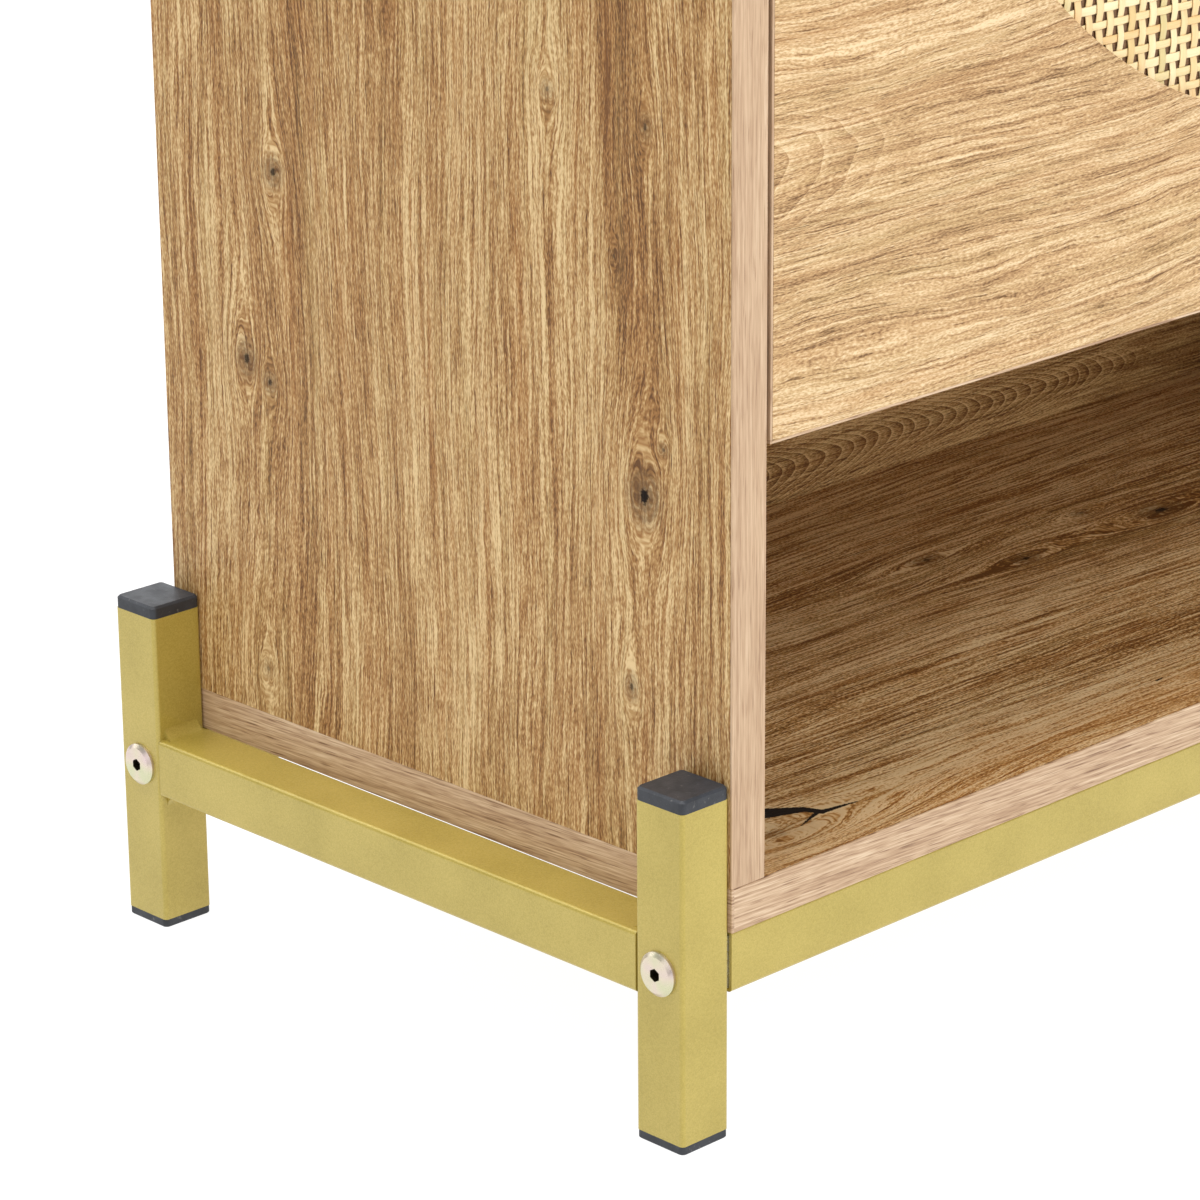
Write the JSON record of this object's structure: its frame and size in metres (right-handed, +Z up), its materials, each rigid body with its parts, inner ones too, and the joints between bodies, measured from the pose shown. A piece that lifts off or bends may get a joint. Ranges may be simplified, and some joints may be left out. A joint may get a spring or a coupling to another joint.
{
  "type": "shoe cabinet",
  "caption": "Tip-out shoe cabinet in oak-print board with half-round cane windows, an open bottom compartment and a gold square-tube base.",
  "frame": {"origin": "on the floor, in the middle of the width, midway between the knobs' tips and the rear legs' rear faces", "axes": "+Z up, +Y from the fronts towards the wall, +X along the width to the right as seen from the front"},
  "size_m": [0.6464, 0.302, 0.952],
  "materials": {
    "oak_board": "satin",
    "oak_front": "satin",
    "edge_band": "satin",
    "back_sheet": "satin",
    "backing": "matte",
    "beech": "matte",
    "cane": "satin",
    "gold_frame": "satin",
    "gold_knob": "satin",
    "yellow_zinc": "bright",
    "zinc_steel": "bright",
    "black_plastic": "matte",
    "grey_plastic": "matte",
    "brown_plastic": "matte"
  },
  "bodies": {
    "cabinet": {"back_joiner": "brown_plastic", "back_sheet_lower": "back_sheet", "back_sheet_upper": "back_sheet", "base_screws": "zinc_steel", "bottom_board": "oak_board", "cam_bolts": "zinc_steel", "cam_locks": "zinc_steel", "carcass_edge_bands": "edge_band", "divider_shelf": "oak_board", "frame_bolts": "yellow_zinc", "frame_welds": "gold_frame", "front_rail": "gold_frame", "leg_caps": "black_plastic", "leg_feet": "black_plastic", "leg_front_left": "gold_frame", "leg_front_right": "gold_frame", "leg_rear_left": "gold_frame", "leg_rear_right": "gold_frame", "pivot_bushes": "grey_plastic", "rail_inserts": "zinc_steel", "rear_rail": "gold_frame", "side_panel_left": "oak_board", "side_panel_right": "oak_board", "side_rail_left": "gold_frame", "side_rail_right": "gold_frame", "stop_peg_screws": "zinc_steel", "stop_pegs": "grey_plastic", "top_board": "oak_board", "wood_dowels": "beech"},
    "lower_drawer": {"cane_backing_lower": "backing", "cane_webbing_lower": "cane", "drawer_screws_lower": "zinc_steel", "drawer_side_left_lower": "grey_plastic", "drawer_side_right_lower": "grey_plastic", "front_edge_bands_lower": "edge_band", "front_lower": "oak_front", "knob_lower": "gold_knob", "knob_screw_lower": "zinc_steel", "lip_bottom_lower": "oak_board", "lip_middle_lower": "oak_board", "tray_bottom_lower": "oak_board", "tray_middle_lower": "oak_board", "window_bead_lower": "oak_front"},
    "upper_drawer": {"cane_backing_upper": "backing", "cane_webbing_upper": "cane", "drawer_screws_upper": "zinc_steel", "drawer_side_left_upper": "grey_plastic", "drawer_side_right_upper": "grey_plastic", "front_edge_bands_upper": "edge_band", "front_upper": "oak_front", "knob_screw_upper": "zinc_steel", "knob_upper": "gold_knob", "lip_bottom_upper": "oak_board", "lip_middle_upper": "oak_board", "tray_bottom_upper": "oak_board", "tray_middle_upper": "oak_board", "window_bead_upper": "oak_front"}
  },
  "joints": [
    {"name": "lower_drawer_tilt", "type": "hinge", "parent": "cabinet", "child": "lower_drawer", "pos_m": [0, -0.111, 0.3015], "axis": [1, 0, 0], "range_deg": [0, 45]},
    {"name": "upper_drawer_tilt", "type": "hinge", "parent": "cabinet", "child": "upper_drawer", "pos_m": [0, -0.111, 0.6555], "axis": [1, 0, 0], "range_deg": [0, 45]}
  ]
}
